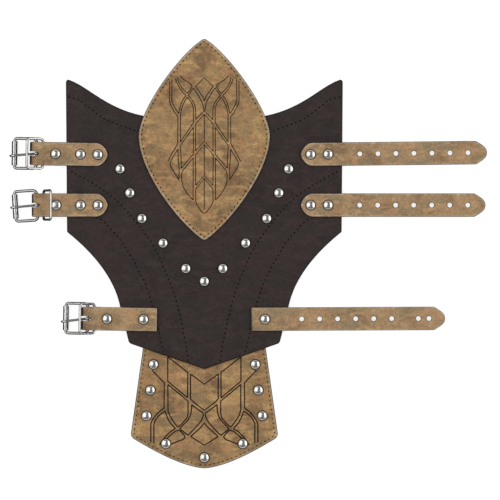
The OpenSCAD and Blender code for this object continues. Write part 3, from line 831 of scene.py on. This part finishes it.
# %% The guard's carved lines, drawn for its left half
guard_lines = [
    [(-44.4, -124.3), (-34, -135.2)] + through([(-34.3, -156.6), (-38.5, -159.7), (-41.4, -162.9),
        (-43.7, -165.9), (-45.3, -169.2), (-45.5, -172)]) + [(-45.5, -185.8)],
    through([(-33.4, -159), (-36.6, -161.2), (-39.8, -164.2), (-42.3, -168.1), (-42.9, -171)])
        + [(-42.9, -186.4)],
    [(-31.1, -112.9), (-14.1, -126.3), (-14.2, -147.8)],
    [(-14.2, -147.8), (-31.1, -133.6), (-31.1, -112.9)],
    [(-31, -136.4), (-13.9, -150.5)] + through([(-13.9, -161), (-14.7, -164.4), (-17.2, -167.7),
        (-20.3, -170.9), (-22.6, -172.6)]),
    through([(-22.6, -172.6), (-24.6, -170.1), (-26.9, -166.9), (-29.5, -162.6), (-30.9, -158.6)])
        + [(-31, -136.4)],
    through([(-33.4, -159), (-31.4, -164.6), (-28.8, -169.2), (-24.6, -174)]),
    through([(-24.6, -174), (-28.8, -176.6), (-32, -179.6), (-35.9, -184.4), (-38.2, -187.8)]),
    through([(-32.3, -182.8), (-28.8, -179.5), (-25.8, -177), (-22.6, -175.5), (-20.6, -176),
        (-18.4, -178.1), (-16.7, -180.4), (-16.9, -181.8), (-18.7, -183.3), (-21.6, -184.4),
        (-28.8, -187.4)]),
    through([(-10.8, -153.6), (-10.9, -157.1), (-11.5, -161.3), (-12.8, -164.6), (-15.1, -167.9),
        (-18.4, -171.1), (-21.1, -174)]),
    [(-21.1, -174), (-14, -179.6)],
    [(-10.8, -153.6)] + through([(-4.7, -158.1), (-1.2, -160.8), (-1.1, -163.3), (-2.9, -167.5),
        (-6, -171.4), (-9.5, -175.2), (-14, -179.6)]),
    [(-11.8, -127.6), (0, -136.1)], [(-11.8, -127.6), (-11.8, -148.8)],
    [(-11.8, -148.8), (-8, -152.4), (0, -158.3)], [(0, -136.1), (0, -158.3)],
    through([(0, -169.2), (-3.4, -173.2), (-11.7, -180.7)]),
    [(-11.7, -180.7), (0, -188)],
]

# %% Carving and stitch holes of the guard, which start below the panel's edge
GUARD_STEP, GUARD_HOLE = 3.95, (1.55, 1.05)
carve(guard, both_sides(guard_lines), radius=0.68, height=0.22)
row = [p for p in inset(mirrored(guard_right), STITCH_INSET) if p[1] < -90]
row = walk([(-49.1, -100)] + row + [(49.1, -100)], GUARD_STEP)
holes = [hole for hole in row if hole[1] < -104]
cut_with(guard, punches(holes, *GUARD_HOLE, STITCH_DEPTH, 0, STITCH_CORNERS))
seat_rivets(guard, 0, "guard_root_rivet_caps", "guard_leaf_rivet_caps")
finish_leather(guard, 0.9)
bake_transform(guard)
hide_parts("hand_guard_root", "hand_guard_leaf")
print("stitch holes of the guard:", len(holes))

# %% [markdown]
# Every strap is 20 mm wide. The end on the panel is rounded, with a slight corner where the round
# starts, or square on the lowest pair. The free end of a long strap comes to a blunt point.

# %% Strap outlines
# For each side: the place of the hinge, the length on the panel and beyond it, and the slant in
# degrees. HEEL is from the hinge to the buckle's bar.
SIDES = ("upper", "middle", "lower")
FLEX = (119.3, 119.3, 73.031)
STRAP_Y = (59.4, 16.0, -80.7)
ROOT = (37.5, 37.5, 33.0)
REACH = (120.8, 119.5, 131.5)
LONG_SLANT, BUCKLE_SLANT = (0.6, 0.0, 0.25), (-1.0, 0.0, -1.0)
HEEL = (23.2, 22.6, 25.8)
HALF_WIDTH, CHAMFER = 10, 0.4
# The bend starts before the hinge, on the panel's side, and ends after it.
BEND_BEFORE, BEND_AFTER = 1.5, 2.6
D_END = bezier((HALF_WIDTH, 0), (9.3, 5.2), (4.4, HALF_WIDTH), (0, HALF_WIDTH), 12)


def placed(points, x, y, turn):
    """Turns points about the origin, in degrees, and moves them."""
    c, s = math.cos(math.radians(turn)), math.sin(math.radians(turn))
    return [(x + c * p[0] - s * p[1], y + s * p[0] + c * p[1]) for p in points]


def strap_outline(root, square, reach, tip):
    """A strap's outline with its hinge at the origin, x along the strap."""
    if square:
        near = [(-root, 0), (-root, HALF_WIDTH - CHAMFER), (-root + CHAMFER, HALF_WIDTH)]
    else:
        near = [(-root, 0)] + [(-root + HALF_WIDTH - d, w) for d, w in D_END]
    side = bezier((0, HALF_WIDTH), (0.45 * tip, 7.2), (tip, 5.2), (tip, 0), 10)
    upper = near + [(reach - tip, HALF_WIDTH)] + [(reach - tip + x, w) for x, w in side]
    return [(x, -w) for x, w in upper] + [(x, w) for x, w in upper[::-1]][1:-1]


# %% [markdown]
# A long strap is one piece from its rivets to its tip. The solid splits it where it leaves the
# panel, because a rigid model needs a hinge there. The mesh spans that hinge, with extra edges
# over a few millimetres there.

# %% Long straps
FIRST_HOLE, HOLE_COUNT, PITCH = (12.8, 12.6, 9.6), (7, 7, 6), 15.3
HOLE, RING, RING_DEPTH, HOLE_CORNERS = 4, 5.4, 0.12, 28
TIP, STRAP_MIDDLE = 9.4, 3.3
STRAP_COATS = (strap_leather, edge_paint, edge_paint, rim_leather, flesh_side, painted_cap_seat_shade)
for i, side in enumerate(SIDES):
    at = FLEX[i], STRAP_Y[i], LONG_SLANT[i]
    outline = placed(strap_outline(ROOT[i], i == 2, REACH[i], TIP), *at)
    strap = cut_leather(f"long_strap_{side}", outline, PANEL_TOP, STRAP_TOP)
    dress(strap, *STRAP_COATS, hole_ring)
    rim_band(round_edges(strap, 1.0), 0.35)
    along = [FIRST_HOLE[i] + k * PITCH for k in range(HOLE_COUNT[i])]
    if i == 2:
        # The lowest strap has two more holes near its tip.
        along += [REACH[i] - 22.8, REACH[i] - 13.8]
    start, end, near, far = placed([
        (-BEND_BEFORE, 0), (BEND_AFTER, 0), (FIRST_HOLE[i] - PITCH / 2, 0),
        (REACH[i] - 18.3, 0)], *at)
    crease(strap, (*start, STRAP_MIDDLE), (*end, STRAP_MIDDLE), 8)
    crease(strap, (*near, STRAP_MIDDLE), (*far, STRAP_MIDDLE),
           round((REACH[i] - FIRST_HOLE[i]) / PITCH))
    centres = [(x, y, 0) for x, y in placed([(x, 0) for x in along], *at)]
    cut_with(strap, punches(centres, RING, RING, RING_DEPTH, STRAP_TOP, HOLE_CORNERS), slot=EXTRA)
    cut_with(strap, punches(centres, HOLE, HOLE, 2, STRAP_MIDDLE, HOLE_CORNERS))
    seat_rivets(strap, STRAP_TOP, "long_strap_rivet_caps")
    finish_leather(strap)
    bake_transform(strap)
    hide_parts(f"long_strap_root_{side}", f"long_strap_tail_{side}")
    print(strap.name, "holes:", len(along))

# %% [markdown]
# A buckle strap runs from the panel, round the buckle's bar, round the keeper's bar and back under
# itself. The fold's side view is one long ribbon, so the side view is drawn and extruded across the
# width, and the slot and pocket for the tongue are cut out. The flat rest is cut like a long strap,
# and the two are joined.

# %% The side view of a fold
# The buckle's bar is at (0, 0) and the keeper's bar beside it; the leaves meet further back.
KEEPER_BAR, LEAVES_MEET = 5.4, 10.2


def around(nose, keeper, meet, stretch=0.0):
    """Round both bars at these radii, from the upper meeting point to the lower one: (u, z) in mm.

    A stretch lengthens the nose."""
    past_bar = 4.8
    lean = math.asin((nose - keeper) / KEEPER_BAR)
    reach = math.hypot(past_bar, meet)
    touch = math.atan2(meet, past_bar) + math.acos(keeper / reach)
    level = math.pi / 2 - lean
    upper = [(KEEPER_BAR + keeper * math.cos(a), keeper * math.sin(a))
             for a in (touch, (touch + level) / 2, level)]
    lower = [(u, -z) for u, z in reversed(upper)]
    turns = [level + (2 * math.pi - 2 * level) * k / 20 for k in range(21)]
    tip = [(nose * math.cos(a) * (1 + stretch / nose if math.cos(a) < 0 else 1), nose * math.sin(a))
           for a in turns]
    return [(LEAVES_MEET, meet)] + upper + tip + lower + [(LEAVES_MEET, -meet)]


# %% Buckle straps
SLOT_WIDTH, NOSE, JOIN, STRAP_THICK = (3.63, 3.55, 3.95), (1.4, 0.3, 1.4), 10.8, 2.2
BUCKLE_ROUND, KEEPER_ROUND, BUCKLE_BORE, KEEPER_BORE = 4.4, 3.8, 2.2, 1.6
LEAF_GAP, LOW_LEAF_END, POCKET = 0.03, 19.8, 3.55
SLOT_MOUTH, SLOT_END, SLOT_HEIGHT = -11, 0.5, 8


def fold_part(i):
    """The fold with its slot and its pocket, from the nose to where both leaves lie flat."""
    outer = around(BUCKLE_ROUND, KEEPER_ROUND, STRAP_THICK, NOSE[i])
    inner = around(BUCKLE_BORE, KEEPER_BORE, LEAF_GAP)
    low_end = (LOW_LEAF_END, -STRAP_THICK)
    profile = ([(JOIN, 0.0), (JOIN, STRAP_THICK)] + outer + [low_end, (LOW_LEAF_END, -LEAF_GAP)]
               + inner[::-1])
    fold = extruded("fold", [(u, -HALF_WIDTH, z) for u, z in profile], (0, 2 * HALF_WIDTH, 0))
    mesh = fold.data
    rim = {(round(u, 2), round(z, 2)) for u, z in outer + [(JOIN, STRAP_THICK), low_end]}
    local = [v.co / MM for v in mesh.vertices]
    weights = mesh.attributes.new("bevel_weight_edge", "FLOAT", "EDGE")
    for edge in mesh.edges:
        a, b = (local[v] for v in edge.vertices)
        on_rim = all((round(p.x, 2), round(p.z, 2)) in rim for p in (a, b))
        weights.data[edge.index].value = 1.0 if on_rim and a.y * b.y > 0 else 0.0
    use_modifier(fold, "BEVEL", width=1.0 * MM, segments=5, limit_method="WEIGHT")
    dress(fold, *STRAP_COATS, carved_line_and_painted_nose_shade)
    pocket = fresh(bpy.ops.mesh.primitive_cylinder_add, vertices=36, radius=POCKET * MM,
                   depth=(SLOT_WIDTH[i] - 0.2) * MM, rotation=(math.pi / 2, 0, 0))
    cut_with(fold, settle(pocket, "pocket"))
    half = SLOT_WIDTH[i] / 2
    turns = [k * math.pi / 12 for k in range(13)]
    round_end = [(SLOT_END + half * math.sin(a), -half * math.cos(a)) for a in turns]
    slot = [(SLOT_MOUTH, -half)] + round_end + [(SLOT_MOUTH, half)]
    cut_with(fold, cut_leather("slot", slot, -SLOT_HEIGHT, SLOT_HEIGHT))
    # Faces at the nose that look ahead, towards the buckle, take the near-black extra colour:
    # painted shade in the tight turn of the fold.
    for face in clean_cut(fold).data.polygons:
        if face.material_index == FACE:
            sideways, ahead = abs(face.normal.y), -face.normal.x
            face.material_index = (EDGE if sideways > 0.6 else RIM if sideways > 0.1
                                   else EXTRA if ahead > 0.6 else FACE)
    return fold


def flat_part(i):
    """The rest of the strap, cut flat, and cut off square where the fold begins."""
    end = HEEL[i] + ROOT[i]
    if i == 2:
        half = [(end, HALF_WIDTH - CHAMFER), (end - CHAMFER, HALF_WIDTH)]
    else:
        half = [(end - HALF_WIDTH + d, w) for d, w in D_END]
    spare = JOIN - 4
    outline = ([(end, 0)] + half + [(spare, HALF_WIDTH), (spare, -HALF_WIDTH)]
               + [(u, -w) for u, w in half[::-1]])
    flat = cut_leather("flat", outline, 0, STRAP_THICK)
    dress(flat, *STRAP_COATS, carved_line_and_painted_nose_shade)
    rim_band(round_edges(flat, 1.0), 0.35)
    crease(flat, (HEEL[i] + BEND_BEFORE, 0, 1), (HEEL[i] - BEND_AFTER, 0, 1), 8)
    open_mesh(flat)
    bpy.ops.mesh.bisect(plane_co=(JOIN * MM, 0, 0), plane_no=(1, 0, 0), use_fill=True,
                        clear_inner=True)
    bpy.ops.object.mode_set(mode="OBJECT")
    return flat


def buckle_strap(i, side):
    """The whole strap: both parts put in their place and joined."""
    at = -FLEX[i], STRAP_Y[i], BUCKLE_SLANT[i]
    heel = placed([(-HEEL[i], 0)], *at)[0]
    parts = fold_part(i), flat_part(i)
    for part in parts:
        part.rotation_euler.z = math.radians(BUCKLE_SLANT[i])
        part.location = (heel[0] * MM, heel[1] * MM, PANEL_TOP * MM)
        settle(part, f"{part.name}_{side}")
    seat_rivets(parts[1], STRAP_TOP, "buckle_strap_rivet_caps", f"fold_rivet_cap_{side}")
    coat(clean_cut(parts[1]))
    pick(*parts)
    bpy.ops.object.join()
    strap = smooth(settle(bpy.context.object, f"buckle_strap_{side}"), 35)
    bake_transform(strap)
    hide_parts(f"buckle_strap_root_{side}", f"buckle_strap_fold_{side}")
    return strap


for i, side in enumerate(SIDES):
    made = buckle_strap(i, side)
    print(made.name, "faces:", len(made.data.polygons))

# %% [markdown]
# A rivet cap is pressed from thin sheet: a low dome with a rolled rim that tucks under. It is
# built up ring by ring from a disc, once, and a copy goes over every post. The places come from
# the solids.

# %% Rivet caps
def stack_rings(rings, corners):
    """A turned shape from (radius, height) rings in mm, by extruding and scaling a disc."""
    disc = fresh(bpy.ops.mesh.primitive_circle_add, vertices=corners, radius=rings[0][0] * MM,
                 fill_type="NGON")
    open_mesh(disc)
    for (r0, z0), (r1, z1) in zip(rings, rings[1:]):
        bpy.ops.mesh.extrude_region_move(TRANSFORM_OT_translate={"value": (0, 0, (z1 - z0) * MM)})
        bpy.ops.transform.resize(value=(r1 / r0, r1 / r0, 1))
    bpy.ops.object.mode_set(mode="OBJECT")
    return disc


cap = stack_rings([
    (3.5, -0.15), (3.85, -0.02), (4.05, 0.26), (4.0, 0.55), (3.76, 0.9), (3.35, 1.24), (2.75, 1.58),
    (2.0, 1.87), (1.15, 2.08), (0.4, 2.18)], 48)
face_outwards(cap)
dress(cap, cap_nickel)
cap_nodes = {f"{row}_rivet_caps": "panel"
             for row in ("v_row", "long_strap", "buckle_strap", "guard_root")}
cap_nodes["guard_leaf_rivet_caps"] = "guard_leaf"
cap_nodes.update({f"fold_rivet_cap_{side}": f"fold_{side}" for side in SIDES})
for node, body in cap_nodes.items():
    places = islands(node)
    caps = copies(cap, [Matrix.Translation(place) for place in places])
    settle(caps, node.replace("rivet", "nickel"))
    smooth(caps, 60)
    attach(caps, body)
    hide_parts(node)
    print(node, len(places))
bpy.data.objects.remove(cap)

# %% [markdown]
# The wire parts already have their true shape as solids: they only need a finish.

# %% Wire parts and posts
finishes = {"buckle_frame": wire_nickel, "buckle_tongue": keeper_nickel,
            "buckle_roller": roller_nickel, "keeper_loop": keeper_nickel}
finished = 0
for name, node in nodes.items():
    for start, finish in finishes.items():
        if name.startswith(start):
            dress(node, finish)
            finished += 1
    if "post" in name:
        dress(node, post_nickel)
        finished += 1
print("solids with a finish:", finished)

# %% [markdown]
# The light is a plain studio: a pale table, a room that is white near the horizon and darker
# overhead, and two long soft boxes, one on each side. Nickel mirrors all that: bright fields with a
# darker band between are what makes it read as metal. The table glows where the camera or the metal
# looks at it, so that it comes out white.

# %% Table, room and lamps
def seen_directly(tree):
    """1 where the camera, a mirror or glass looks, and 0 for the light that falls on the piece."""
    seen = put(tree, "ShaderNodeLightPath").outputs
    either = calculate(tree, "MAXIMUM", seen["Is Camera Ray"], seen["Is Glossy Ray"])
    return calculate(tree, "MAXIMUM", either, seen["Is Transmission Ray"])


JUST_BELOW = 0.0001  # metres
table = fresh(bpy.ops.mesh.primitive_plane_add, size=4, location=(0, 0, cad_low.z - JUST_BELOW))
table.name = "table"
white, tree, shader = blank_material("white_table")
fill(tree, shader, {
    "Base Color": (0.35, 0.35, 0.35, 1), "Roughness": 0.9, "Emission Color": (1, 1, 1, 1),
    "Emission Strength": calculate(tree, "MULTIPLY", seen_directly(tree), 0.8)})
dress(table, white)

room = bpy.data.worlds.new("soft room")
bpy.context.scene.world = room
room.use_nodes = True
tree = room.node_tree
way = put(tree, "ShaderNodeSeparateXYZ",
          {"Vector": put(tree, "ShaderNodeTexCoord").outputs["Generated"]})
fill(tree, tree.nodes["Background"], {
    "Color": (1, 1, 1, 1), "Strength": span(tree, way.outputs["Z"], 0.3, 0.6, 1.0, 0.27)})


def soft_box(name, place, size, power):
    """A rectangular lamp that faces the middle of the table; power is in watts."""
    lamp = bpy.data.lights.new(name, "AREA")
    lamp.shape = "RECTANGLE"
    lamp.size, lamp.size_y = size
    lamp.energy = power
    made = bpy.data.objects.new(name, lamp)
    bpy.context.scene.collection.objects.link(made)
    made.location = place
    made.rotation_euler = (-Vector(place)).to_track_quat("-Z", "Y").to_euler()


soft_box("left soft box", (-1.1, 0.25, 1.6), (2.2, 1.8), power=22)
soft_box("right soft box", (1.45, 0.1, 1.2), (2.2, 1.2), power=18)
print("lamps:", len(bpy.data.lights))

# %% [markdown]
# The photograph looks straight down through a long lens. The view takes in 425 mm.

# %% Camera
camera = bpy.data.cameras.new("camera")
eye = bpy.data.objects.new("camera", camera)
bpy.context.scene.collection.objects.link(eye)
VIEW_WIDTH, HEIGHT, MIDDLE = 0.425, 3.0, (0.0388, -0.0221)
eye.location = (*MIDDLE, HEIGHT)
camera.lens = camera.sensor_width * HEIGHT / VIEW_WIDTH
camera.clip_end = 20
bpy.context.scene.camera = eye
bpy.context.scene.view_settings.view_transform = "Standard"
print("lens in mm:", round(camera.lens, 1))
